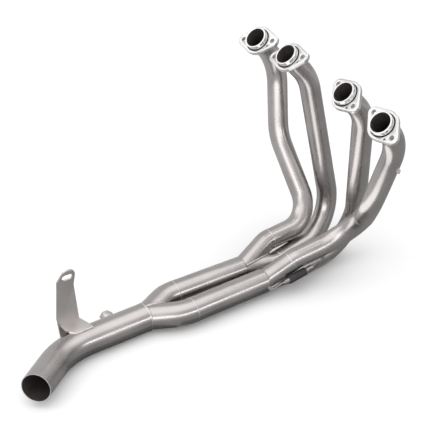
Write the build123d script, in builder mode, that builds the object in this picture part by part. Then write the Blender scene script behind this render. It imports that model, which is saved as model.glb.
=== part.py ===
from build123d import *
import os

os.makedirs("parts", exist_ok=True)

# The four-into-two-into-one header lies as on a bench. X runs to the outlet, Y from pipe 1 to
# pipe 4, and Z up from the floor at zero, below the middle of the header. All sizes are in
# millimetres.

# Tubes
primary_od = 38.1
secondary_od = 44.5
tail_od = 50.8
tube_wall = 1.2
weld_fit = 0.1

# Port collars and loose flanges
collar_wall = 1.95
collar_od = primary_od + 2 * collar_wall
collar_stand = 9.5
collar_lip = 4.0
collar_edge = 0.8
flange_thickness = 8.0
flange_seat_depth = 4.0
flange_rim = 7.0
flange_waist = collar_od + 2 * flange_rim
flange_ear = 22.0
flange_bolt_hole = 8.6
flange_bolt_room = 11.0
flange_bolt_spacing = collar_od + 2 * flange_bolt_room
flange_edge = 1.0
flange_turn = 20.5
flange_clearance = 0.5
flange_seat_clearance = 1.8
wire_hole = 3.6
wire_hole_in = 7.0
wire_hole_along = flange_bolt_spacing / 2 - wire_hole_in
wire_hole_across = -11.0

# Bends, as the radius of the tube's middle line
port_bend = 86.0
side_bend = 130.0
floor_bend = 77.0
tight_floor_bend = 56.0
leg_bend = 40.0
secondary_bend = 66.0
tail_bend = 131.0

# Slip joints between the primary legs and the secondary tubes
slip_left_point = (-122, -27, 28)
slip_right_point = (-130, 28, 28)
slip_left = Vector(slip_left_point)
slip_right = Vector(slip_right_point)
slip_clearance = 0.25
slip_gap = 1.5
spigot_length = 30.0

# Second merge, outlet and the secondaries' corners
corner_left_point = (40, -34, 28)
corner_right_point = (44, 27, 28)
secondary_corner_left = Vector(corner_left_point)
secondary_corner_right = Vector(corner_right_point)
secondary_weld_back = 19.0
merge_x = 101.0
merge_y = -6.0
merge = Vector(merge_x, merge_y, tail_od / 2)
tail_corner_x = 260.0
tail_corner_y = -8.0
tail_corner = Vector(tail_corner_x, tail_corner_y, tail_od / 2)
outlet_x = 353.5
outlet_y = 67.5
outlet_rise = 13.6
outlet = Vector(outlet_x, outlet_y, tail_od / 2 + outlet_rise)

# Where the primary tubes end: the inner two lie on the floor side by side, the outer two above
# them, and each leg runs on from there along X to its slip joint.
inner_run_z = primary_od / 2
inner_run_gap = 2.0
inner_left_y = -16.0
inner_right_y = inner_left_y + primary_od + inner_run_gap
outer_left_off = 29.0
outer_left_y = inner_left_y - outer_left_off
outer_left_sink = 5.65
outer_left_z = inner_run_z + primary_od - outer_left_sink
outer_right_off = 15.4
outer_right_y = inner_right_y + outer_right_off
outer_right_lift = 0.85
outer_right_z = inner_run_z + primary_od + outer_right_lift
end_1 = (slip_left.X - 1.81 * primary_od, outer_left_y, outer_left_z)
end_2 = (slip_left.X - 1.76 * primary_od, inner_left_y, inner_run_z)
end_3 = (slip_right.X - 1.365 * primary_od, inner_right_y, inner_run_z)
end_4 = (slip_right.X - 1.627 * primary_od, outer_right_y, outer_right_z)

# Primary routes: the mouth of the collar, then the corners of the middle line down to the end
outer_left_fall = 6.0
outer_right_fall = 17.0
corner_1 = (-302, -48, outer_left_z + outer_left_fall)
corner_4 = (-327, 51, outer_right_z + outer_right_fall)
route_1 = [(-260, -177, 394), (-315, -181, 335), (-293, -143, 201), corner_1, end_1]
route_2 = [(-259, -88.5, 394), (-311, -85, 337), (-365, -57.5, inner_run_z), end_2]
route_3 = [(-251, 75, 386.5), (-298, 79, 335), (-363, 5, inner_run_z), end_3]
route_4 = [(-241, 179, 376), (-291, 175, 323), (-277, 139, 195), corner_4, end_4]
bends_1 = [port_bend, side_bend, tight_floor_bend]
bends_2 = [port_bend, floor_bend]
bends_3 = [port_bend, floor_bend]
bends_4 = [port_bend, side_bend, floor_bend]
leg_length_1 = 2.19 * primary_od
leg_length_2 = 2.06 * primary_od
leg_length_3 = 1.65 * primary_od
leg_length_4 = 1.57 * primary_od

# Folded hanger bracket on the tail pipe
sheet = 3.0
bracket_rear_x = 249.0
bracket_front_x = 212.0
bracket_plate_y = -37.0
bracket_shelf_reach = 33.0
shelf_flare = 7.0
shelf_snip_x = 12.0
shelf_snip_y = 14.0
bracket_fold_rear_z = 138.0
bracket_fold_front_z = 123.0
bracket_waist = 6.0
bracket_belly = 5.0
bracket_belly_z = 68.0
ear_lean = 14.0
ear_radius = 12.5
ear_rise = 17.5
ear_back = 4.0
ear_root = 1.0
slot_length = 19.0
slot_width = 12.0
slot_tilt = 30.0
slot_drop = 3.5
plate_drop = 25.0

# Sensor boss behind the tail pipe, with its plug
bung_x = 157.5
bung_tilt = 6.0
bung_od = 24.0
bung_bore = 16.0
bung_stand = 9.0
plug_flats = 19.0
plug_head = 6.0
plug_reach = 8.0

# Retaining springs, one beside each slip joint, hooked into tabs on the leg side and the socket
wire = 1.8
coil_od = 10.5
spring_room_left = 19.0
spring_room_right = 11.0
spring_front_left = (-96, -primary_od / 2 - spring_room_left, 6)
spring_rear_left = (-28, -primary_od / 2 - spring_room_left, -4)
spring_front_right = (-91, primary_od / 2 + spring_room_right, 12)
spring_rear_right = (-23, primary_od / 2 + spring_room_right, 2)
spring_front = {"left": slip_left + spring_front_left, "right": slip_right + spring_front_right}
spring_rear = {"left": slip_left + spring_rear_left, "right": slip_right + spring_rear_right}
spring_out = {"left": -1, "right": 1}
damper_wall = 2.0
damper_length = 38.0
damper_start = 20.0
damper_clearance = 0.1
hook_bend = 2.5
hook_neck = 6.0
hook_tail = 4.0
tab_length = 8.5
tab_width = 7.0
tab_thickness = 2.0
tab_hole = 3.6
front_tab_back = 57.0
front_tab_lean = 0.16

# Small lugs on the outer primaries, as a share of the way along the tube and its leg
side_tab_along = {"1": 0.1836, "4": 0.1978}
side_tab_length = {"1": 6.5, "4": 8.0}
side_tab_width = {"1": 6.0, "4": 9.0}
side_tab_corner = 1.0

primary_id = primary_od - 2 * tube_wall
secondary_id = secondary_od - 2 * tube_wall
routes = {"1": route_1, "2": route_2, "3": route_3, "4": route_4}
route_bends = {"1": bends_1, "2": bends_2, "3": bends_3, "4": bends_4}
leg_lengths = {"1": leg_length_1, "2": leg_length_2, "3": leg_length_3, "4": leg_length_4}
side = {"1": 1, "2": 1, "3": -1, "4": -1}


def unit(start, end):
    return (Vector(end) - Vector(start)).normalized()


def hollow_tube(points, bends, outside):
    """Sweep a tube with the shop's wall along straight runs joined by tangent bends."""
    with BuildLine() as route:
        FilletPolyline(*points, radius=bends)
    with BuildSketch(Plane(origin=route.line @ 0, z_dir=route.line % 0)) as section:
        Circle(outside / 2)
        Circle(outside / 2 - tube_wall, mode=Mode.SUBTRACT)
    sweep(sections=section.sketch, path=route.line)
    return route.wire()


def finish(builder, name):
    builder.part.label = name
    export_step(builder.part, f"parts/{name}.step")


# Loose two-bolt flanges: a hull of waist and ears, with a seat for the collar and a lock-wire hole
port_planes = {}
for pipe, route in routes.items():
    port = Plane(origin=route[0], x_dir=(0, 1, 0), z_dir=unit(route[1], route[0]))
    port_planes[pipe] = port
    bolt_line = port.x_dir.rotate(Axis((0, 0, 0), port.z_dir), side[pipe] * flange_turn)
    face = Plane(origin=port.offset(-collar_stand).origin, x_dir=bolt_line, z_dir=port.z_dir)
    with BuildPart() as flange:
        with BuildSketch(face):
            Circle(flange_waist / 2)
            with Locations((flange_bolt_spacing / 2, 0), (-flange_bolt_spacing / 2, 0)):
                Circle(flange_ear / 2)
            make_hull()
        extrude(amount=-flange_thickness)
        rims = flange.faces().sort_by(Axis(face.origin, face.z_dir))
        chamfer(rims[-1].edges() + rims[0].edges(), length=flange_edge)
        with BuildSketch(face):
            Circle(primary_od / 2 + flange_clearance)
            with Locations((flange_bolt_spacing / 2, 0), (-flange_bolt_spacing / 2, 0)):
                Circle(flange_bolt_hole / 2)
            with Locations((wire_hole_along, wire_hole_across)):
                Circle(wire_hole / 2)
        extrude(amount=-flange_thickness, mode=Mode.SUBTRACT)
        with BuildSketch(face):
            Circle(collar_od / 2 + flange_seat_clearance)
        extrude(amount=-flange_seat_depth, mode=Mode.SUBTRACT)
    finish(flange, f"header_flange_{pipe}")

# Port collars: turned rings with a lip that the tube butts against
collar_length = collar_stand + flange_seat_depth - flange_clearance
for pipe, port in port_planes.items():
    with BuildPart() as collar:
        with BuildSketch(port):
            Circle(collar_od / 2)
            Circle(primary_id / 2, mode=Mode.SUBTRACT)
        extrude(amount=-collar_length)
        rims = collar.edges().filter_by(GeomType.CIRCLE).sort_by(Axis(port.origin, port.z_dir))
        chamfer(rims[-2:], length=collar_edge)
        with BuildSketch(port.offset(-collar_lip)):
            Circle(primary_od / 2 + weld_fit)
        extrude(amount=collar_lip - collar_length, mode=Mode.SUBTRACT)
    finish(collar, f"port_collar_{pipe}")

# Primary tubes and legs: each tube runs from the collar's lip to a weld, and its leg from there to
# the slip joint. Each pair of legs is cut on the plane between the two, so that their bores join.
secondary_axes = {
    "left": unit(slip_left, secondary_corner_left),
    "right": unit(slip_right, secondary_corner_right),
}
slips = {"left": slip_left, "right": slip_right}
pairs = {"left": ("1", "2"), "right": ("4", "3")}
primary_lines = {}
for hand, (outer, inner) in pairs.items():
    slip = slips[hand]
    stop = Plane(origin=slip, z_dir=secondary_axes[hand])
    for pipe, other in ((outer, inner), (inner, outer)):
        route = routes[pipe]
        aim = unit(route[-1], slip)
        crotch = Plane(origin=slip, z_dir=unit(routes[other][-1], slip) - aim)
        points = [port_planes[pipe].offset(-collar_lip).origin, *route[1:], slip + aim * primary_od]
        bends = [*route_bends[pipe], leg_bend]
        with BuildPart() as primary:
            line = hollow_tube(points, bends, primary_od)
            share = 1 - (leg_lengths[pipe] + primary_od) / line.length
            weld = Plane(origin=line @ share, z_dir=line % share)
            split(bisect_by=weld, keep=Keep.BOTTOM)
        finish(primary, f"primary_tube_{pipe}")
        primary_lines[pipe] = line
        with BuildPart() as leg:
            hollow_tube(points, bends, primary_od)
            split(bisect_by=weld, keep=Keep.TOP)
            split(bisect_by=stop, keep=Keep.BOTTOM)
            split(bisect_by=crotch, keep=Keep.TOP)
        finish(leg, f"primary_leg_{pipe}")

# Slip spigots: the round outlet of each pair of legs
spigot_od = secondary_id - 2 * slip_clearance
for hand, slip in slips.items():
    with BuildPart() as spigot:
        with BuildSketch(Plane(origin=slip, z_dir=secondary_axes[hand])):
            Circle(spigot_od / 2)
            Circle(spigot_od / 2 - tube_wall, mode=Mode.SUBTRACT)
        extrude(amount=spigot_length)
    finish(spigot, f"slip_spigot_{hand}")

# Secondary tubes: straight sockets over the spigots
secondary_corners = {"left": secondary_corner_left, "right": secondary_corner_right}
secondary_ends = {}
for hand, slip in slips.items():
    axis = secondary_axes[hand]
    start = slip + axis * slip_gap
    secondary_ends[hand] = secondary_corners[hand] - axis * secondary_weld_back
    with BuildPart() as secondary:
        with BuildSketch(Plane(origin=start, z_dir=axis)):
            Circle(secondary_od / 2)
            Circle(secondary_id / 2, mode=Mode.SUBTRACT)
        extrude(amount=(secondary_ends[hand] - start).length)
    finish(secondary, f"secondary_tube_{hand}")

# Secondary legs: cut against each other and against the tail pipe's end
tail_axis = unit(merge, tail_corner)
tail_start = Plane(origin=merge, z_dir=tail_axis)
for hand, other in (("left", "right"), ("right", "left")):
    aim = unit(secondary_corners[hand], merge)
    crotch = Plane(origin=merge, z_dir=unit(secondary_corners[other], merge) - aim)
    with BuildPart() as leg:
        points = [secondary_ends[hand], secondary_corners[hand], merge + aim * secondary_od]
        hollow_tube(points, secondary_bend, secondary_od)
        split(bisect_by=tail_start, keep=Keep.BOTTOM)
        split(bisect_by=crotch, keep=Keep.TOP)
    finish(leg, f"secondary_leg_{hand}")

# Tail pipe: the outlet with its last bend, drilled for the sensor boss
bung_base = merge + tail_axis * ((bung_x - merge.X) / tail_axis.X)
bung_out = (Vector(0, 0, 1).cross(tail_axis) * -1).rotate(Axis((0, 0, 0), tail_axis), -bung_tilt)
bung_plane = Plane(origin=bung_base, x_dir=tail_axis, z_dir=bung_out)
with BuildPart() as tail:
    tail_line = hollow_tube([merge, tail_corner, outlet], tail_bend, tail_od)
    with BuildSketch(bung_plane):
        Circle(bung_bore / 2)
    extrude(amount=tail_od, mode=Mode.SUBTRACT)
finish(tail, "tail_pipe")

# Sensor boss: a turned ring saddled on the tail pipe
with BuildPart() as bung:
    with BuildSketch(bung_plane):
        Circle(bung_od / 2)
        Circle(bung_bore / 2, mode=Mode.SUBTRACT)
    extrude(amount=tail_od / 2 + bung_stand)
    with BuildSketch(Plane(origin=bung_base - tail_axis * bung_od, z_dir=tail_axis)):
        Circle(tail_od / 2 + weld_fit)
    extrude(amount=2 * bung_od, mode=Mode.SUBTRACT)
finish(bung, "sensor_bung")

# Sensor plug: a hexagon head with its shank in the boss
with BuildPart() as plug:
    with BuildSketch(bung_plane.offset(tail_od / 2 + bung_stand)):
        RegularPolygon(plug_flats / 2, 6, major_radius=False)
    extrude(amount=plug_head)
    with BuildSketch(bung_plane.offset(tail_od / 2 + bung_stand)):
        Circle(bung_bore / 2 - weld_fit)
    extrude(amount=-plug_reach)
finish(plug, "sensor_plug")

# Hanger bracket: a plate that reaches down beside the pipe, a shelf and a leaning slotted ear
shelf_z = tail_od + weld_fit
fold_rear = Vector(bracket_rear_x, bracket_plate_y, bracket_fold_rear_z)
fold_front = Vector(bracket_front_x + bracket_waist, bracket_plate_y, bracket_fold_front_z)
fold_length = (fold_front - fold_rear).length
ear_facing = Vector(0, 1, 0).rotate(Axis(fold_rear, fold_front - fold_rear), ear_lean)
ear_plane = Plane(origin=fold_rear, x_dir=fold_front - fold_rear, z_dir=ear_facing)
with BuildPart() as bracket:
    with BuildSketch(Plane.XY.offset(shelf_z)):
        with BuildLine():
            Polyline(
                (bracket_rear_x, bracket_plate_y),
                (bracket_front_x, bracket_plate_y),
                (bracket_front_x - shelf_flare, bracket_plate_y + bracket_shelf_reach),
                (bracket_rear_x - shelf_snip_x, bracket_plate_y + bracket_shelf_reach),
                (bracket_rear_x, bracket_plate_y + bracket_shelf_reach - shelf_snip_y),
                close=True,
            )
        make_face()
    extrude(amount=sheet)
    with BuildSketch(Plane.XZ.offset(-bracket_plate_y)):
        with BuildLine():
            Polyline(
                (bracket_rear_x, shelf_z - plate_drop),
                (bracket_front_x, shelf_z - plate_drop),
                (bracket_front_x, shelf_z),
                (fold_front.X, fold_front.Z),
                (fold_rear.X, fold_rear.Z),
                (bracket_rear_x + bracket_belly, bracket_belly_z),
                close=True,
            )
        make_face()
    extrude(amount=sheet)
    with BuildSketch(ear_plane):
        with BuildLine():
            Line((0, -ear_root), (fold_length, -ear_root))
        with Locations((fold_length / 2 - ear_back, ear_rise)):
            Circle(ear_radius)
        make_hull()
    extrude(amount=-sheet)
    with BuildSketch(ear_plane):
        with Locations((fold_length / 2 - ear_back, ear_rise - slot_drop)):
            SlotOverall(slot_length, slot_width, rotation=slot_tilt)
    extrude(amount=-sheet, mode=Mode.SUBTRACT)
    with BuildSketch(tail_start):
        Circle(tail_od / 2 + weld_fit)
    sweep(path=tail_line, mode=Mode.SUBTRACT)
finish(bracket, "hanger_bracket")

# Tabs: small plates with an eye, standing on a tube. Each is placed by the point on the tube's
# middle line, the line's direction, the way out, and the tube's radius.
tabs = {}
for hand, (outer, _) in pairs.items():
    out = spring_out[hand]
    run = unit(routes[outer][-2], routes[outer][-1])
    front = Vector(routes[outer][-1]) - run * front_tab_back
    rear = slips[hand] + secondary_axes[hand] * (slip_gap + tab_width / 2)
    tabs[f"spring_tab_{hand}_front"] = (front, run, Vector(0, out * front_tab_lean, -1), primary_od / 2)
    tabs[f"spring_tab_{hand}_rear"] = (rear, secondary_axes[hand], Vector(0, out, 0), secondary_od / 2)
tab_eyes = {}
for name, (foot, along, out, radius) in tabs.items():
    flat = Plane(origin=foot, x_dir=along, z_dir=along.cross(out))
    eye_height = radius + weld_fit + tab_length - tab_width / 2
    tab_eyes[name] = flat.from_local_coords(Vector(0, eye_height, 0))
    with BuildPart() as tab:
        with BuildSketch(flat.offset(-tab_thickness / 2)):
            with Locations((0, eye_height)):
                Circle(tab_width / 2)
            with Locations((0, (eye_height + radius + weld_fit) / 2)):
                Rectangle(tab_width, eye_height - radius - weld_fit)
            with Locations((0, eye_height)):
                Circle(tab_hole / 2, mode=Mode.SUBTRACT)
        extrude(amount=tab_thickness)
    finish(tab, name)

# Retaining springs: a close-wound coil with a hooked wire at each end
for hand in slips:
    front = spring_front[hand]
    rear = spring_rear[hand]
    pull = unit(front, rear)
    rim = coil_od / 2 - wire / 2
    front_eye = tab_eyes[f"spring_tab_{hand}_front"]
    rear_eye = tab_eyes[f"spring_tab_{hand}_rear"]
    sideways = Vector(0, spring_out[hand], 0)
    hooks = (
        (front, pull, front_eye, sideways),
        (rear, pull * -1, rear_eye, Vector(0, 0, -1)),
    )
    with BuildPart() as spring:
        with BuildSketch(Plane(origin=front, z_dir=pull)):
            Circle(coil_od / 2)
            Circle(coil_od / 2 - wire, mode=Mode.SUBTRACT)
        extrude(amount=(rear - front).length)
        for end, inward, eye, turned in hooks:
            with BuildLine() as route:
                FilletPolyline(
                    end + Vector(0, 0, rim) + inward * wire,
                    end + Vector(0, 0, rim) - inward * hook_neck,
                    eye + turned * (tab_thickness / 2 + hook_bend + wire),
                    eye - turned * hook_tail,
                    radius=hook_bend,
                )
            with BuildSketch(Plane(origin=route.line @ 0, z_dir=route.line % 0)):
                Circle(wire / 2)
            sweep(path=route.line)
    finish(spring, f"exhaust_spring_{hand}")

# Spring dampers: rubber sleeves over the coils
for hand in slips:
    pull = unit(spring_front[hand], spring_rear[hand])
    inner_radius = coil_od / 2 + damper_clearance
    with BuildPart() as damper:
        with BuildSketch(Plane(origin=spring_front[hand] + pull * damper_start, z_dir=pull)):
            Circle(inner_radius + damper_wall)
            Circle(inner_radius, mode=Mode.SUBTRACT)
        extrude(amount=damper_length)
    finish(damper, f"spring_damper_{hand}")

# Side tabs: small plain lugs on the outer sides of pipes 1 and 4
for pipe, share in side_tab_along.items():
    line = primary_lines[pipe]
    out = Vector(0, -side[pipe], 0)
    flat = Plane(origin=line @ share, x_dir=line % share, z_dir=(line % share).cross(out))
    with BuildPart() as lug:
        with BuildSketch(flat.offset(-tab_thickness / 2)):
            with Locations((0, primary_od / 2 + weld_fit + side_tab_length[pipe] / 2)):
                RectangleRounded(side_tab_width[pipe], side_tab_length[pipe], side_tab_corner)
        extrude(amount=tab_thickness)
    finish(lug, f"side_tab_{pipe}")
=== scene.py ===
import math

import bmesh
import bpy
from mathutils import Matrix, Vector


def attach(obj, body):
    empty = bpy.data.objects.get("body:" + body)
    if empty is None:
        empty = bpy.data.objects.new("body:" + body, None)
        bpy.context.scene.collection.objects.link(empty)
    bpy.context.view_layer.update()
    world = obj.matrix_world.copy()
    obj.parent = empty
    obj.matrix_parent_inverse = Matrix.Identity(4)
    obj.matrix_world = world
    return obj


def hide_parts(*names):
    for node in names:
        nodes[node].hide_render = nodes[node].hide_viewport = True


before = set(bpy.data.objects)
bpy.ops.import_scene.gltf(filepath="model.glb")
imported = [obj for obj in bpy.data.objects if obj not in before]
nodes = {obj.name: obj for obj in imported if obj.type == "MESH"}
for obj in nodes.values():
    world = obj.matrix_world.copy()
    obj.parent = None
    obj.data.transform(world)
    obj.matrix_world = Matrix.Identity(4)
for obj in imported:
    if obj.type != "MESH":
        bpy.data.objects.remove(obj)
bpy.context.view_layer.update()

# Primary tubes: four drawn stainless tubes, bent on a mandrel, that run from the port collars
# down to the first merge. They are satin polished along their length and welded at both ends,
# and each weld leaves a straw and brown heat mark on the tube beside it.
mm = 0.001
primary_od = 38.1
primary_radius = primary_od / 2 * mm
tube_wall = 1.2 * mm
collar_lip = 4.0 * mm
ring_segments = 64
run_step = 7.0 * mm
bend_step = math.radians(3)
heat_reach = 9.0 * mm
heat_strength = 0.7
streak_stretch = 0.02
join_gap = 0.01 * mm
seam_into_bend = 14.0 * mm
inner_z = primary_od / 2
inner_right_y = -16 + primary_od + 2
slips = {"left": Vector((-122, -27, 28)) * mm, "right": Vector((-130, 28, 28)) * mm}
pairs = {"left": (1, 2), "right": (4, 3)}
end_1 = (-122 - 1.81 * primary_od, -45, inner_z + primary_od - 5.65)
end_2 = (-122 - 1.76 * primary_od, -16, inner_z)
end_3 = (-130 - 1.365 * primary_od, inner_right_y, inner_z)
end_4 = (-130 - 1.627 * primary_od, inner_right_y + 15.4, inner_z + primary_od + 0.85)
primary_routes = {
    1: [
        (-260, -177, 394), (-315, -181, 335), (-293, -143, 201),
        (-302, -48, inner_z + primary_od + 0.35), end_1,
    ],
    2: [(-259, -88.5, 394), (-311, -85, 337), (-365, -57.5, inner_z), end_2],
    3: [(-251, 75, 386.5), (-298, 79, 335), (-363, 5, inner_z), end_3],
    4: [(-241, 179, 376), (-291, 175, 323), (-277, 139, 195), (-327, 51, 75), end_4],
}
primary_bends = {1: (86, 130, 56, 40), 2: (86, 77, 40), 3: (86, 77, 40), 4: (86, 130, 77, 40)}
leg_lengths = {1: 2.19 * primary_od, 2: 2.06 * primary_od, 3: 1.65 * primary_od, 4: 1.57 * primary_od}
steel_dark = (0.38, 0.358, 0.352, 1)
steel_light = (0.55, 0.524, 0.516, 1)


def toward(start, end):
    return (end - start).normalized()


def add(tree, kind, sockets=None, **settings):
    """Put a shader node in a tree, with its settings and its inputs, as values or as links."""
    made = tree.nodes.new(kind)
    for name, value in settings.items():
        setattr(made, name, value)
    for name, value in (sockets or {}).items():
        if isinstance(value, bpy.types.NodeSocket):
            tree.links.new(value, made.inputs[name])
        else:
            made.inputs[name].default_value = value
    return made


def mix_colours(tree, share, first, second):
    return add(tree, "ShaderNodeMix", {0: share, 6: first, 7: second}, data_type="RGBA").outputs[2]


def make_metal_grain():
    """Polish of worked metal: soft clouds, and fine streaks along the third coordinate."""
    group = bpy.data.node_groups.new("metal_grain", "ShaderNodeTree")
    for name, kind in (("Coordinates", "Vector"), ("Streaks", "Float"), ("Clouds", "Float")):
        group.interface.new_socket(name, in_out="INPUT", socket_type=f"NodeSocket{kind}")
    for name in ("Tone", "Height", "Wear"):
        group.interface.new_socket(name, in_out="OUTPUT", socket_type="NodeSocketFloat")
    given = add(group, "NodeGroupInput").outputs
    where = given["Coordinates"]
    stretched = {0: where, 1: (1, 1, streak_stretch)}
    drawn = add(group, "ShaderNodeVectorMath", stretched, operation="MULTIPLY").outputs[0]
    streaks = add(group, "ShaderNodeTexNoise", {"Vector": drawn, "Scale": given["Streaks"], "Detail": 3.0})
    clouds = add(group, "ShaderNodeTexNoise", {"Vector": where, "Scale": given["Clouds"], "Detail": 4.0})
    fine, soft = streaks.outputs["Fac"], clouds.outputs["Fac"]
    spread = add(group, "ShaderNodeMapRange", {"Value": soft, "From Min": 0.32, "From Max": 0.68})
    wear = spread.outputs["Result"]
    both = add(group, "ShaderNodeMath", {0: wear, 1: fine}, operation="ADD")
    tone = add(group, "ShaderNodeMath", {0: both.outputs[0], 1: 0.5}, operation="MULTIPLY")
    results = {"Tone": tone.outputs[0], "Height": fine, "Wear": wear}
    add(group, "NodeGroupOutput", results)
    return group


metal_grain = make_metal_grain()


def new_material(name):
    material = bpy.data.materials.new(name)
    material.use_nodes = True
    return material, material.node_tree, material.node_tree.nodes["Principled BSDF"]


def heat_marks(tree, colour):
    """Weld heat on steel: straw at the edge of the mark, then brown, then grey at the bead."""
    heat = add(tree, "ShaderNodeAttribute", attribute_name="heat")
    bands = add(tree, "ShaderNodeValToRGB", {"Fac": heat.outputs["Fac"]})
    stops = bands.color_ramp.elements
    stops[0].position, stops[0].color = 0.05, (0.54, 0.52, 0.50, 1)
    stops[1].position, stops[1].color = 1.0, (0.20, 0.175, 0.165, 1)
    for position, shade in ((0.3, (0.54, 0.46, 0.38, 1)), (0.6, (0.38, 0.30, 0.25, 1))):
        stops.new(position).color = shade
    amount = add(tree, "ShaderNodeMath", {0: heat.outputs["Fac"], 1: heat_strength}, operation="MULTIPLY")
    return mix_colours(tree, amount.outputs[0], colour, bands.outputs["Color"])


def satin_steel(
    name, dark, light, smooth, rough, streaks=900.0, clouds=14.0, relief=0.06, follows="object", metal=1.0,
):
    """Satin metal whose grain follows the piece's own layer, or else the object's directions."""
    material, tree, shader = new_material(name)
    if follows == "object":
        where = add(tree, "ShaderNodeTexCoord").outputs["Object"]
    else:
        where = add(tree, "ShaderNodeAttribute", attribute_name=follows).outputs["Vector"]
    grain = add(tree, "ShaderNodeGroup", node_tree=metal_grain)
    tree.links.new(where, grain.inputs["Coordinates"])
    grain.inputs["Streaks"].default_value = streaks
    grain.inputs["Clouds"].default_value = clouds
    colour = mix_colours(tree, grain.outputs["Tone"], dark, light)
    if follows == "unbent":
        colour = heat_marks(tree, colour)
    tree.links.new(colour, shader.inputs["Base Color"])
    wear, height = grain.outputs["Wear"], grain.outputs["Height"]
    gloss = add(tree, "ShaderNodeMapRange", {"Value": wear, "To Min": smooth, "To Max": rough})
    tree.links.new(gloss.outputs["Result"], shader.inputs["Roughness"])
    ridges = add(tree, "ShaderNodeBump", {"Height": height, "Strength": relief, "Distance": 0.1 * mm})
    tree.links.new(ridges.outputs["Normal"], shader.inputs["Normal"])
    shader.inputs["Metallic"].default_value = metal
    return material


def bender_moves(corners, bends):
    """What a tube bender does along a route: the length, steps and motion of each run and bend."""
    at = corners[0]
    for corner, after, bend in zip(corners[1:-1], corners[2:], bends):
        ahead, onward = toward(at, corner), toward(corner, after)
        turn = ahead.angle(onward)
        axis = ahead.cross(onward).normalized()
        begin = corner - ahead * bend * math.tan(turn / 2)
        yield straight_move(at, begin)
        yield turning_move(begin + axis.cross(ahead) * bend, axis, turn, bend)
        at = corner + onward * bend * math.tan(turn / 2)
    yield straight_move(at, corners[-1])


def straight_move(start, end):
    way = end - start
    return way.length, math.ceil(way.length / run_step), lambda share: Matrix.Translation(way * share)


def turning_move(centre, axis, turn, bend):
    there, back = Matrix.Translation(centre), Matrix.Translation(-centre)

    def motion(share):
        return there @ Matrix.Rotation(turn * share, 4, axis) @ back

    return turn * bend, math.ceil(turn / bend_step), motion


def on_route(corners, bends, distance):
    """The point at a distance along a route, and the heading there."""
    at, heading = corners[0], toward(corners[0], corners[1])
    for length, _, motion in bender_moves(corners, bends):
        share = min(distance / length, 1)
        at, heading = motion(share) @ at, motion(share).to_3x3() @ heading
        distance -= length
        if distance <= 0:
            break
    return at, heading


def draw_wall(shape, corners, bends, radius, welds):
    """Draw one wall of a tube out of a ring, move by move, and give back its two end rings."""
    unbent = shape.verts.layers.float_vector["unbent"]
    heat = shape.verts.layers.float["heat"]
    verts = bmesh.ops.create_circle(shape, segments=ring_segments, radius=radius)["verts"]
    for vert in verts:
        vert[unbent] = vert.co
        vert[heat] = weld_heat(0, welds)
    facing = toward(corners[0], corners[1]).to_track_quat("Z", "Y").to_matrix().to_4x4()
    bmesh.ops.transform(shape, matrix=Matrix.Translation(corners[0]) @ facing, verts=verts)
    first = ring = list({edge for vert in verts for edge in vert.link_edges})
    travelled = 0.0
    for length, steps, motion in bender_moves(corners, bends):
        for _ in range(steps):
            made = bmesh.ops.extrude_edge_only(shape, edges=ring)["geom"]
            verts = {part for part in made if isinstance(part, bmesh.types.BMVert)}
            edges = [part for part in made if isinstance(part, bmesh.types.BMEdge)]
            ring = [edge for edge in edges if verts.issuperset(edge.verts)]
            bmesh.ops.transform(shape, matrix=motion(1 / steps), verts=list(verts))
            travelled += length / steps
            for vert in verts:
                vert[unbent] = (*vert[unbent].xy, travelled)
                vert[heat] = weld_heat(travelled, welds)
    return first, ring


def weld_heat(travelled, welds):
    return max((math.exp(-(((travelled - weld) / heat_reach) ** 2)) for weld in welds), default=0.0)


def close_rim(shape, edges, centre, shrink, material=2):
    """Turn an outer edge in by the wall, onto the edge of the inner wall."""
    made = bmesh.ops.extrude_edge_only(shape, edges=edges)["geom"]
    verts = [part for part in made if isinstance(part, bmesh.types.BMVert)]
    bmesh.ops.scale(shape, vec=(shrink, shrink, shrink), space=Matrix.Translation(-centre), verts=verts)
    for part in made:
        if isinstance(part, bmesh.types.BMFace):
            part.smooth = False
            # The rim takes the given material, by default the third: bright cut metal with a painted
            # highlight.
            part.material_index = material
            for edge in part.edges:
                edge.smooth = False


def bent_tube(name, corners, bends, radius, welds=(), cuts=()):
    """A hollow tube along a route, with square ends, or cut on planes of a point, a way and a side."""
    shape = bmesh.new()
    unbent = shape.verts.layers.float_vector.new("unbent")
    shape.verts.layers.float.new("heat")
    shrink = 1 - tube_wall / radius
    mid_wall = radius - tube_wall / 2
    first, last = draw_wall(shape, corners, bends, radius, welds)
    draw_wall(shape, corners, bends, radius - tube_wall, welds)
    for face in shape.faces:
        face.smooth = True
        # Faces of the inner wall take the second material, a near-black painted shade for the bore.
        face.material_index = int(all(vert[unbent].xy.length < mid_wall for vert in face.verts))
    close_rim(shape, first, corners[0], shrink)
    if not cuts:
        close_rim(shape, last, corners[-1], shrink)
    for point, way, keeps_front in cuts:
        bmesh.ops.remove_doubles(shape, verts=shape.verts[:], dist=join_gap)
        everything = shape.verts[:] + shape.edges[:] + shape.faces[:]
        cut = bmesh.ops.bisect_plane(
            shape, geom=everything, plane_co=point, plane_no=way,
            clear_outer=not keeps_front, clear_inner=keeps_front,
        )["geom_cut"]
        outside = {vert for vert in shape.verts if vert[unbent].xy.length > mid_wall}
        edges = [part for part in cut if isinstance(part, bmesh.types.BMEdge)]
        close_rim(shape, [edge for edge in edges if outside.issuperset(edge.verts)], point, shrink, 0)
    bmesh.ops.remove_doubles(shape, verts=shape.verts[:], dist=join_gap)
    return add_piece(name, shape)


def add_piece(name, shape):
    """Make an object of a finished shape, with its faces turned outward."""
    bmesh.ops.recalc_face_normals(shape, faces=shape.faces[:])
    mesh = bpy.data.meshes.new(name)
    shape.to_mesh(mesh)
    shape.free()
    piece = bpy.data.objects.new(name, mesh)
    bpy.context.scene.collection.objects.link(piece)
    return piece


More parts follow.
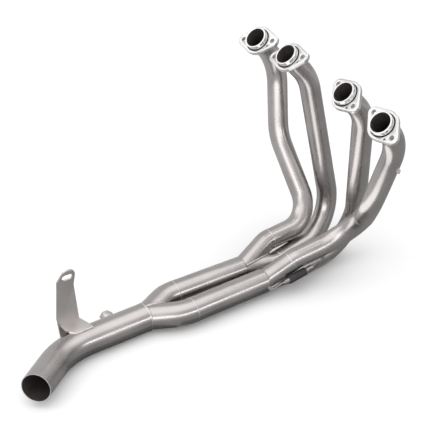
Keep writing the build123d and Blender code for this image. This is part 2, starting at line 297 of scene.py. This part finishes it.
def fit(piece, node, slot, *materials, body="header"):
    """Let a piece ride on a body with its materials, in place of a solid if it has one."""
    for material in materials:
        piece.data.materials.append(material)
    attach(piece, body)
    if node:
        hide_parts(node)


satin_tube = satin_steel("satin_tube", steel_dark, steel_light, 0.22, 0.31, follows="unbent")
# Painted shade: a near-black dull colour for the tube and collar bores and the flange seats, where shade
# falls.
painted_shade = satin_steel(
    "painted_shade", (0.03, 0.026, 0.024, 1), (0.085, 0.073, 0.068, 1), 0.45, 0.6,
    streaks=200.0, clouds=60.0, metal=0.0,
)
# Bright cut metal of the open tube ends, partly real and partly a painted highlight along the rims.
cut_metal_and_highlight = satin_steel(
    "cut_metal_and_highlight", (0.80, 0.79, 0.78, 1), (0.92, 0.91, 0.90, 1), 0.4, 0.5, streaks=700.0, clouds=80.0,
)
primary_routes = {pipe: [Vector(corner) * mm for corner in route] for pipe, route in primary_routes.items()}
primary_bends = {pipe: [bend * mm for bend in bends] for pipe, bends in primary_bends.items()}
port_axes = {pipe: toward(route[1], route[0]) for pipe, route in primary_routes.items()}
primary_corners = {}
leg_welds = {}
for hand, pair in pairs.items():
    for pipe in pair:
        route, bends = primary_routes[pipe], primary_bends[pipe]
        aim = toward(route[-1], slips[hand])
        start = route[0] - port_axes[pipe] * collar_lip
        corners = [start, *route[1:], slips[hand] + aim * 2 * primary_radius]
        lengths = [length for length, _, _ in bender_moves(corners, bends)]
        weld_at = sum(lengths) - 2 * primary_radius - leg_lengths[pipe] * mm
        place, heading = on_route(corners, bends, weld_at)
        primary_corners[pipe] = corners
        leg_welds[pipe] = (weld_at, place, heading)
        welds = [0.0, weld_at]
        if pipe == 4:
            seam_at = sum(lengths[:5]) + seam_into_bend
            welds.append(seam_at)
        cut = (place, heading, False)
        tube = bent_tube(f"primary_tube_{pipe}_satin", corners, bends, primary_radius, welds, [cut])
        fit(tube, f"primary_tube_{pipe}", "tube_steel", satin_tube, painted_shade, cut_metal_and_highlight)

# Primary legs: the short formed ends of the four primaries. Each pair is cut to a common
# plane and welded along it, so that two bores become one in front of the slip joint.
secondary_corners = {"left": Vector((40, -34, 28)) * mm, "right": Vector((44, 27, 28)) * mm}
secondary_axes = {hand: toward(slips[hand], secondary_corners[hand]) for hand in slips}
for hand, pair in pairs.items():
    slip = slips[hand]
    for pipe, other in (pair, pair[::-1]):
        aim = toward(primary_routes[pipe][-1], slip)
        weld_at, place, heading = leg_welds[pipe]
        begin = (place, heading, True)
        stop = (slip, secondary_axes[hand], False)
        crotch = (slip, toward(primary_routes[other][-1], slip) - aim, True)
        leg = bent_tube(
            f"primary_leg_{pipe}_satin", primary_corners[pipe], primary_bends[pipe], primary_radius,
            [weld_at], [begin, stop, crotch],
        )
        fit(leg, f"primary_leg_{pipe}", "tube_steel", satin_tube, painted_shade, cut_metal_and_highlight)

# Secondary tubes: two straight sockets that slide over the spigots of the legs. They are
# plain drawn tube, a size larger, and are welded to the second merge.
secondary_radius = 22.25 * mm
slip_gap = 1.5 * mm
secondary_weld_back = 19.0 * mm
secondary_ends = {}
for hand, slip in slips.items():
    axis = secondary_axes[hand]
    start = slip + axis * slip_gap
    end = secondary_corners[hand] - axis * secondary_weld_back
    secondary_ends[hand] = end
    weld_at = (end - start).length
    tube = bent_tube(f"secondary_tube_{hand}_satin", [start, end], [], secondary_radius, [weld_at])
    fit(tube, f"secondary_tube_{hand}", "tube_steel", satin_tube, painted_shade, cut_metal_and_highlight)

# Secondary legs: the formed pair that brings both sides into the tail pipe, cut against each
# other on one plane and against the tail pipe's end on another.
merge = Vector((101, -6, 25.4)) * mm
tail_corner = Vector((260, -8, 25.4)) * mm
tail_axis = toward(merge, tail_corner)
secondary_bend = 66.0 * mm
for hand, other in (("left", "right"), ("right", "left")):
    corner = secondary_corners[hand]
    aim = toward(corner, merge)
    corners = [secondary_ends[hand], corner, merge + aim * 2 * secondary_radius]
    stop = (merge, tail_axis, False)
    crotch = (merge, toward(secondary_corners[other], merge) - aim, True)
    leg = bent_tube(
        f"secondary_leg_{hand}_satin", corners, [secondary_bend], secondary_radius, [0.0], [stop, crotch],
    )
    fit(leg, f"secondary_leg_{hand}", "tube_steel", satin_tube, painted_shade, cut_metal_and_highlight)

# Tail pipe: the outlet, bent once to the side and cut square for the silencer's link pipe.
# It is the widest tube, and its bore is painted near-black as shade like the others.
tail_radius = 25.4 * mm
tail_bend = 131.0 * mm
outlet = Vector((353.5, 67.5, 39.0)) * mm
tail = bent_tube("tail_pipe_satin", [merge, tail_corner, outlet], [tail_bend], tail_radius, [0.0])
fit(tail, "tail_pipe", "tube_steel", satin_tube, painted_shade, cut_metal_and_highlight)

# Weld beads: rings and seams of filler laid by hand in overlapping drops. They stand about half
# a millimetre proud of the tubes, and their light steel colour, brighter than the heat mark beside
# them, is partly the bead's own metal and partly a painted highlight.
bead_radius = 2.4 * mm
bead_sink = 1.8 * mm
tail_bead_radius = 2.6 * mm
seam_bead_radius = 1.4 * mm
seam_bead_sink = 1.0 * mm
drop_length = 2.4 * mm
drop_dip = 0.86
bung_place = merge + tail_axis * (157.5 - 101) * mm
bung_out = Matrix.Rotation(math.radians(-6), 3, tail_axis) @ tail_axis.cross(Vector((0, 0, 1)))
bung_radius = 12.0 * mm
shelf_edge = (Vector((205, -4, 51.2)) * mm, Vector((237, -4, 51.2)) * mm, Vector((246, -14, 51.2)) * mm)
# Bead metal, made lighter as a painted highlight.
weld_steel_and_highlight = satin_steel(
    "weld_steel_and_highlight", (0.40, 0.38, 0.365, 1), (0.74, 0.715, 0.70, 1), 0.25, 0.40,
    streaks=400.0, clouds=160.0, relief=0.2,
)


def wire_along(name, path, closed, size, radii):
    """A round wire along a path, with a share of its size at each point."""
    curve = bpy.data.curves.new(name, "CURVE")
    curve.dimensions = "3D"
    curve.bevel_depth = size
    curve.bevel_resolution = 2
    curve.use_fill_caps = not closed
    line = curve.splines.new("POLY")
    line.points.add(len(path) - 1)
    for point, spot, share in zip(line.points, path, radii):
        point.co = (*spot, 1)
        point.radius = share
    line.use_cyclic_u = closed
    draft = bpy.data.objects.new(name, curve)
    mesh = bpy.data.meshes.new_from_object(draft)
    bpy.data.objects.remove(draft)
    for face in mesh.polygons:
        face.use_smooth = True
    mesh.materials.clear()
    wire = bpy.data.objects.new(name, mesh)
    bpy.context.scene.collection.objects.link(wire)
    return wire


def weld_bead(name, path, closed, size=bead_radius):
    """A bead of overlapping drops along a path whose points lie half a drop apart."""
    radii = [drop_dip if count % 2 else 1.0 for count in range(len(path))]
    fit(wire_along(name, path, closed, size, radii), None, "tube_steel", weld_steel_and_highlight)


def ring_path(centre, axis, radius):
    """Points half a drop apart on a circle about an axis."""
    count = 2 * round(math.pi * radius / drop_length)
    across = axis.orthogonal().normalized() * radius
    return [centre + Matrix.Rotation(math.tau * n / count, 3, axis) @ across for n in range(count)]


def even_points(path, step):
    """The same path with points a step apart."""
    spots, left = [path[0]], step
    for before, after in zip(path, path[1:]):
        gap = (after - before).length
        along = left
        while along <= gap:
            spots.append(before.lerp(after, along / gap))
            along += step
        left = along - gap
    return spots


def crotch_path(centre, aim, normal, front, radius):
    """Points along the seam where a pair of tubes meets on a plane, up to the stop."""
    flat = normal.normalized()
    across = aim.cross(flat).normalized() * radius
    stretch = radius / math.sin(math.acos(aim.dot((aim - flat * aim.dot(flat)).normalized())))
    lengthwise = (aim - flat * aim.dot(flat)).normalized() * stretch
    seam = []
    for n in range(361):
        angle = math.radians(n - 90)
        spot = centre + across * math.sin(angle) - lengthwise * math.cos(angle)
        if (spot - centre).dot(front) < 0:
            seam.append(spot)
    return even_points(seam, drop_length / 2)


for pipe, (_, place, heading) in leg_welds.items():
    weld_bead(f"leg_weld_{pipe}", ring_path(place, heading, primary_radius - bead_sink), True)
place, heading = on_route(primary_corners[4], primary_bends[4], seam_at)
weld_bead("seam_weld_4", ring_path(place, heading, primary_radius - seam_bead_sink), True, seam_bead_radius)
for hand, end in secondary_ends.items():
    ring = ring_path(end, secondary_axes[hand], secondary_radius - bead_sink)
    weld_bead(f"secondary_weld_{hand}", ring, True)
for hand, (outer, inner) in pairs.items():
    aim = toward(primary_routes[outer][-1], slips[hand])
    normal = toward(primary_routes[inner][-1], slips[hand]) - aim
    seam = crotch_path(slips[hand], aim, normal, secondary_axes[hand], primary_radius)
    weld_bead(f"crotch_weld_{hand}", seam, False)
aim = toward(secondary_corners["left"], merge)
normal = toward(secondary_corners["right"], merge) - aim
weld_bead("crotch_weld_tail", crotch_path(merge, aim, normal, tail_axis, secondary_radius), False)
weld_bead("tail_weld", ring_path(merge, tail_axis, tail_radius - bead_sink), True, tail_bead_radius)
saddle = []
for spot in ring_path(Vector((0, 0, 0)), bung_out, bung_radius):
    off_axis = spot - tail_axis * spot.dot(tail_axis)
    saddle.append(bung_place + spot + bung_out * math.sqrt(tail_radius**2 - off_axis.length_squared))
weld_bead("bung_weld", saddle, True)
weld_bead("shelf_weld", even_points(shelf_edge, drop_length / 2), False)

# Port collars: turned steel rings that the tubes are welded into. They seal in the ports of
# the cylinder head and show fine lathe rings outside; their bore is painted near-black as shade.
lathe_steps = 96
collar_profile = (
    (20.4, 0.0), (20.8, -0.2), (21.0, -0.6), (21.0, -13.0), (19.15, -13.0), (19.15, -4.0), (17.85, -4.0),
    (17.85, -0.8), (18.05, -0.3), (18.65, 0.0),
)
collar_bore = 18.0 * mm


def turned(name, place, axis, profile, bore=0.0):
    """A ring turned on a lathe out of a closed profile of radii and heights in millimetres."""
    shape = bmesh.new()
    rings = shape.verts.layers.float_vector.new("lathe")
    corners = [shape.verts.new((radius * mm, 0, height * mm)) for radius, height in profile]
    for corner in corners:
        corner[rings] = (corner.co.x, corner.co.z, 0)
    edges = [shape.edges.new(pair) for pair in zip(corners, corners[1:] + corners[:1])]
    bmesh.ops.spin(
        shape, geom=corners + edges, cent=(0, 0, 0), axis=(0, 0, 1), angle=math.tau,
        steps=lathe_steps, use_merge=True,
    )
    for face in shape.faces:
        face.smooth = True
        # Faces inside the bore take the second material; the collars give it the near-black painted shade.
        face.material_index = int(all(vert.co.xy.length < bore for vert in face.verts))
    for edge in shape.edges:
        edge.smooth = edge.calc_face_angle() < math.radians(40)
    facing = axis.to_track_quat("Z", "Y").to_matrix().to_4x4()
    bmesh.ops.transform(shape, matrix=Matrix.Translation(place) @ facing, verts=shape.verts[:])
    return add_piece(name, shape)


turned_steel = satin_steel(
    "turned_steel", (0.62, 0.61, 0.605, 1), (0.80, 0.79, 0.785, 1), 0.16, 0.26,
    streaks=1500.0, clouds=60.0, relief=0.1, follows="lathe",
)
for pipe, axis in port_axes.items():
    mouth = primary_routes[pipe][0]
    collar = turned(f"port_collar_{pipe}_turned", mouth, axis, collar_profile, collar_bore)
    fit(collar, f"port_collar_{pipe}", "collar_steel", turned_steel, painted_shade)

# Loose flanges: two-bolt flanges of machined plate that turn freely behind the collars. They
# are bright milled faces with eased edges, and the seat behind the collar is painted dark as shade.
seat_shade_radius = 22.9 * mm
flange_ease = 0.3
machined_steel = satin_steel(
    "machined_steel", (0.58, 0.575, 0.57, 1), (0.72, 0.715, 0.71, 1), 0.26, 0.36, streaks=500.0, clouds=40.0,
)


def eased(node, width):
    """A copy of a solid with its sharp edges eased by a width in millimetres."""
    shape = bmesh.new()
    shape.from_mesh(nodes[node].data)
    bmesh.ops.transform(shape, matrix=nodes[node].matrix_world, verts=shape.verts[:])
    bmesh.ops.remove_doubles(shape, verts=shape.verts[:], dist=0.005 * mm)
    bmesh.ops.dissolve_limit(shape, angle_limit=math.radians(1), verts=shape.verts[:], edges=shape.edges[:])
    sharp = [edge for edge in shape.edges if edge.calc_face_angle(0) > math.radians(35)]
    bmesh.ops.bevel(
        shape, geom=sharp, offset=width * mm, offset_type="OFFSET", segments=2, profile=0.5, affect="EDGES",
        clamp_overlap=True, material=-1,
    )
    for face in shape.faces:
        face.smooth = True
        face.material_index = 0
    for edge in shape.edges:
        edge.smooth = edge.calc_face_angle(0) < math.radians(30)
    return add_piece(f"{node}_eased", shape)


for pipe, axis in port_axes.items():
    flange = eased(f"header_flange_{pipe}", flange_ease)
    for face in flange.data.polygons:
        spots = [flange.data.vertices[index].co - primary_routes[pipe][0] for index in face.vertices]
        reach = max((spot - axis * spot.dot(axis)).length for spot in spots)
        # Faces of the seat within this radius take the painted shade of the second material.
        face.material_index = int(reach < seat_shade_radius)
    fit(flange, f"header_flange_{pipe}", "flange_steel", machined_steel, painted_shade, body=f"flange_{pipe}")

# Slip spigots: the round ends of the merged legs inside the sockets. They are the same tube,
# only seen through the gap of the slip joint, and are painted near-black as the shade in that gap.
spigot_painted_shade = satin_steel("spigot_painted_shade", (0.035, 0.03, 0.028, 1), (0.09, 0.075, 0.07, 1), 0.35, 0.5)
for hand in slips:
    spigot = nodes[f"slip_spigot_{hand}"]
    spigot.data.materials.clear()
    spigot.data.materials.append(spigot_painted_shade)

# Hanger bracket, tabs and sensor boss: sheet, turned and hexagon pieces welded on. Their
# edges are eased, as deburred metal has them.
bracket_ease = 0.5
tab_ease = 0.3
sheet_steel = satin_steel(
    "sheet_steel", (0.50, 0.475, 0.465, 1), (0.61, 0.58, 0.57, 1), 0.38, 0.46, streaks=500.0, clouds=22.0,
)
for node in sorted(nodes):
    if node.startswith(("hanger", "sensor")):
        fit(eased(node, bracket_ease), node, "sheet_steel", sheet_steel)
    elif node.startswith(("spring_tab", "side_tab")):
        fit(eased(node, tab_ease), node, "sheet_steel", sheet_steel)

# Retaining springs: close coils of drawn wire that pull each socket onto its spigot. Both
# ends are drawn in to a neck and bent to a hook through the eye of a tab.
wire_radius = 0.9 * mm
coil_rim = 4.35 * mm
neck_rim = 1.9 * mm
taper = 7.0 * mm
wire_pitch = 1.86 * mm
coil_points = 20
hook_tip = 4.0 * mm
hook_back = 5.3 * mm
hook_lead = 6.0 * mm
hook_bend = 3.0 * mm
front_tab_back = 57.0 * mm
front_eye_height = 24.15 * mm
front_eye_lean = 0.16
rear_tab_ahead = 5.0 * mm
rear_eye_height = 27.35 * mm
spring_offsets = {
    "left": (Vector((-96, -38.05, 6)) * mm, Vector((-28, -38.05, -4)) * mm),
    "right": (Vector((-91, 30.05, 12)) * mm, Vector((-23, 30.05, 2)) * mm),
}
outward = {"left": -1, "right": 1}
wire_steel = satin_steel(
    "wire_steel", (0.30, 0.29, 0.28, 1), (0.52, 0.51, 0.50, 1), 0.22, 0.34, streaks=300.0, clouds=60.0,
)


def tab_eye(foot, along, out, height):
    """The eye of a tab that stands on a tube, out from a point of its middle line."""
    return foot + (out - along * out.dot(along)).normalized() * height


def rounded(path, reach):
    """A path with its corners rounded off over a reach to both sides."""
    spots = [path[0]]
    for before, corner, after in zip(path, path[1:], path[2:]):
        begin = corner + toward(corner, before) * min(reach, (before - corner).length / 2)
        end = corner + toward(corner, after) * min(reach, (after - corner).length / 2)
        for share in (0, 0.2, 0.4, 0.6, 0.8, 1):
            spots.append(begin.lerp(corner, share).lerp(corner.lerp(end, share), share))
    return spots + [path[-1]]


def coil(front, rear, up):
    """A close coil from one point to another, drawn in to a neck at both ends."""
    pull = toward(front, rear)
    length = (rear - front).length
    across = pull.cross(up)
    count = round(length / wire_pitch) * coil_points
    spots = []
    for n in range(count + 1):
        along = length * n / count
        rim = neck_rim + (coil_rim - neck_rim) * min(1, along / taper, (length - along) / taper)
        angle = math.tau * n / coil_points
        spots.append(front + pull * along + (up * math.cos(angle) + across * math.sin(angle)) * rim)
    return spots


for hand, slip in slips.items():
    front, rear = (slip + offset for offset in spring_offsets[hand])
    outer = pairs[hand][0]
    run = toward(primary_routes[outer][-2], primary_routes[outer][-1])
    aside, under = Vector((0, outward[hand], 0)), Vector((0, 0, -1))
    front_foot = primary_routes[outer][-1] - run * front_tab_back
    front_eye = tab_eye(front_foot, run, under + aside * front_eye_lean, front_eye_height)
    rear_foot = slip + secondary_axes[hand] * rear_tab_ahead
    rear_eye = tab_eye(rear_foot, secondary_axes[hand], aside, rear_eye_height)
    pull = toward(front, rear)
    up = (Vector((0, 0, 1)) - pull * pull.z).normalized()
    front_neck, rear_neck = front + up * neck_rim, rear + up * neck_rim
    lead = pull * hook_lead
    front_hook = [front_eye - aside * hook_tip, front_eye + aside * hook_back, front_neck - lead, front_neck]
    rear_hook = [rear_neck, rear_neck + lead, rear_eye + under * hook_back, rear_eye - under * hook_tip]
    path = rounded(front_hook, hook_bend)[:-1] + coil(front, rear, up) + rounded(rear_hook, hook_bend)[1:]
    spring = wire_along(f"exhaust_spring_{hand}_coil", path, False, wire_radius, [1.0] * len(path))
    fit(spring, f"exhaust_spring_{hand}", "spring_steel", wire_steel)

# Spring dampers: black rubber sleeves pushed over the coils against rattling, with rounded
# lips and a matt, slightly dusty skin.
damper_start = 20.0 * mm
damper_profile = (
    (5.35, 0.6), (5.6, 0.15), (6.1, 0.0), (6.7, 0.05), (7.15, 0.35), (7.35, 1.0), (7.35, 37.0), (7.15, 37.65),
    (6.7, 37.95), (6.1, 38.0), (5.6, 37.85), (5.35, 37.4),
)
rubber, tree, shader = new_material("damper_skin")
dust = add(tree, "ShaderNodeTexNoise", {"Scale": 220.0, "Detail": 4.0})
tree.links.new(add(tree, "ShaderNodeTexCoord").outputs["Object"], dust.inputs["Vector"])
dusty = mix_colours(tree, dust.outputs["Fac"], (0.014, 0.013, 0.013, 1), (0.042, 0.038, 0.037, 1))
tree.links.new(dusty, shader.inputs["Base Color"])
skin = add(tree, "ShaderNodeMapRange", {"Value": dust.outputs["Fac"], "To Min": 0.5, "To Max": 0.75})
tree.links.new(skin.outputs["Result"], shader.inputs["Roughness"])
pores = add(tree, "ShaderNodeBump", {"Height": dust.outputs["Fac"], "Strength": 0.3, "Distance": 0.2 * mm})
tree.links.new(pores.outputs["Normal"], shader.inputs["Normal"])
for hand, slip in slips.items():
    front, rear = (slip + offset for offset in spring_offsets[hand])
    pull = toward(front, rear)
    sleeve = turned(f"spring_damper_{hand}_sleeve", front + pull * damper_start, pull, damper_profile)
    fit(sleeve, f"spring_damper_{hand}", "damper_rubber", rubber)

# Studio: a white floor, a long overhead band of light, a side strip and two soft boxes. Cards
# that only mirrored light sees lay dark and bright stripes on the tubes.
floor_reach = 15.0
floor_mirrored = (0.52, 0.52, 0.52, 1)
floor_seen = (0.86, 0.86, 0.86, 1)
card_grey = (0.30, 0.30, 0.30, 1)
shade_grey = (0.17, 0.17, 0.17, 1)
card_height, shade_height, bright_height = 0.003, 0.004, 0.1
dark_cards = {"far_card": ((-1.5, 0.04), (0.6, 1.7)), "right_card": ((-1.5, -0.3), (-0.3, 0.04))}
shade_cards = {
    "run_card": ((-0.28, 0.055), (-0.15, 0.1)),
    "socket_card": ((-0.15, 0.045), (0.06, 0.075)),
    "tail_card": ((0.06, 0.01), (0.28, 0.04)),
}
bright_wedge = ((-0.27, -0.03), (0.06, 0.12), (0.06, 0.27), (-0.16, 0.27), (-0.27, 0.03))
bright_strength = 1.9
band_middle = (0, 0.07, 0.998)


def flat_sheet(name, spots, height, material):
    """A level sheet of the studio, with its corners in order."""
    shape = bmesh.new()
    shape.faces.new([shape.verts.new((x, y, height)) for x, y in spots])
    sheet = add_piece(name, shape)
    sheet.data.materials.append(material)
    return sheet


def mirrored_card(name, spots, height, material):
    """A sheet that only mirrored light sees."""
    card = flat_sheet(name, spots, height, material)
    card.visible_camera = False
    card.visible_diffuse = False
    card.visible_shadow = False


def box_corners(low, high):
    return low, (high[0], low[1]), high, (low[0], high[1])


def matt(name, colour):
    """A dull material of one plain colour for the studio."""
    material, tree, shader = new_material(name)
    shader.inputs["Base Color"].default_value = colour
    shader.inputs["Roughness"].default_value = 0.9
    shader.inputs["Specular IOR Level"].default_value = 0.0
    return material, tree, shader


white, tree, shader = matt("white_floor", floor_seen)
seen = add(tree, "ShaderNodeLightPath").outputs["Is Camera Ray"]
tree.links.new(mix_colours(tree, seen, floor_mirrored, floor_seen), shader.inputs["Base Color"])
floor_corners = box_corners((-floor_reach, -floor_reach), (floor_reach, floor_reach))
flat_sheet("floor", floor_corners, 0.0, white)

dark, _, _ = matt("dark_card", card_grey)
for name, (low, high) in dark_cards.items():
    mirrored_card(name, box_corners(low, high), card_height, dark)
shade, _, _ = matt("shade_card", shade_grey)
for name, (low, high) in shade_cards.items():
    mirrored_card(name, box_corners(low, high), shade_height, shade)

bright, tree, shader = new_material("bright_card")
tree.nodes.remove(shader)
shine = add(tree, "ShaderNodeEmission", {"Strength": bright_strength})
clear = add(tree, "ShaderNodeBsdfTransparent")
behind = add(tree, "ShaderNodeNewGeometry").outputs["Backfacing"]
one_sided = add(tree, "ShaderNodeMixShader", {0: behind, 1: shine.outputs[0], 2: clear.outputs[0]})
tree.links.new(one_sided.outputs[0], tree.nodes["Material Output"].inputs["Surface"])
mirrored_card("bright_card", bright_wedge, bright_height, bright)

world = bpy.data.worlds.new("studio")
world.use_nodes = True
bpy.context.scene.world = world
tree = world.node_tree
way = add(tree, "ShaderNodeTexCoord").outputs["Generated"]
across = add(tree, "ShaderNodeVectorMath", {0: way, 1: (0, 1, 1)}, operation="MULTIPLY").outputs[0]
flat_way = add(tree, "ShaderNodeVectorMath", {0: across}, operation="NORMALIZE").outputs[0]
overhead = add(tree, "ShaderNodeVectorMath", {0: flat_way, 1: band_middle}, operation="DOT_PRODUCT")
band = add(
    tree, "ShaderNodeMapRange",
    {"Value": overhead.outputs["Value"], "From Min": 0.74, "From Max": 0.99, "To Min": 0.70, "To Max": 1.70},
    interpolation_type="SMOOTHSTEP",
)
sideways = add(tree, "ShaderNodeVectorMath", {0: way, 1: (-1, 0, 0)}, operation="DOT_PRODUCT")
dim = add(
    tree, "ShaderNodeMapRange",
    {"Value": sideways.outputs["Value"], "From Min": 0.7, "From Max": 0.95, "To Min": 1.0, "To Max": 0.45},
)
both = {0: band.outputs["Result"], 1: dim.outputs["Result"]}
glow = add(tree, "ShaderNodeMath", both, operation="MULTIPLY")
tree.links.new(glow.outputs[0], tree.nodes["Background"].inputs["Strength"])
tree.nodes["Background"].inputs["Color"].default_value = (1, 1, 1, 1)


def soft_box(name, place, target, width, height, radiance):
    """A flat lamp that faces a target and is as bright as its radiance, where one is white."""
    lamp = bpy.data.lights.new(name, "AREA")
    lamp.shape = "RECTANGLE"
    lamp.size, lamp.size_y = width, height
    lamp.energy = radiance * math.pi * width * height
    box = bpy.data.objects.new(name, lamp)
    box.location = place
    box.rotation_euler = toward(Vector(place), Vector(target)).to_track_quat("-Z", "Y").to_euler()
    box.visible_camera = False
    bpy.context.scene.collection.objects.link(box)


soft_box("side_strip", (-0.2, 3.0, 1.17), (-0.2, 0, 0.03), 5.2, 0.36, 3.8)
soft_box("port_box", (0.85, -1.3, 1.58), (-0.25, 0, 0.38), 1.4, 1.4, 1.0)
soft_box("front_box", (1.31, 0.94, 0.70), (-0.3, -0.15, 0.25), 1.3, 0.7, 1.8)

# Camera: its place, turn and lens were fitted to the photograph's outlines, so that the part
# stands in the picture as it does there.
photo_width = 425
focal_pixels = 1253.2
camera_turn = math.radians(35.771)
camera_height = math.radians(31.355)
camera_place = Vector((1.0286, 1.4798, 1.3013))
right = Vector((-math.cos(camera_turn), math.sin(camera_turn), 0))
level = Vector((math.sin(camera_turn), math.cos(camera_turn), 0))
back = level * math.cos(camera_height) + Vector((0, 0, math.sin(camera_height)))
camera_data = bpy.data.cameras.new("camera")
camera_data.sensor_width = 36
camera_data.lens = focal_pixels / photo_width * camera_data.sensor_width
camera = bpy.data.objects.new("camera", camera_data)
facing = Matrix((right, back.cross(right), back)).transposed().to_4x4()
camera.matrix_world = Matrix.Translation(camera_place) @ facing
bpy.context.scene.collection.objects.link(camera)
bpy.context.scene.camera = camera
bpy.context.scene.view_settings.view_transform = "Standard"
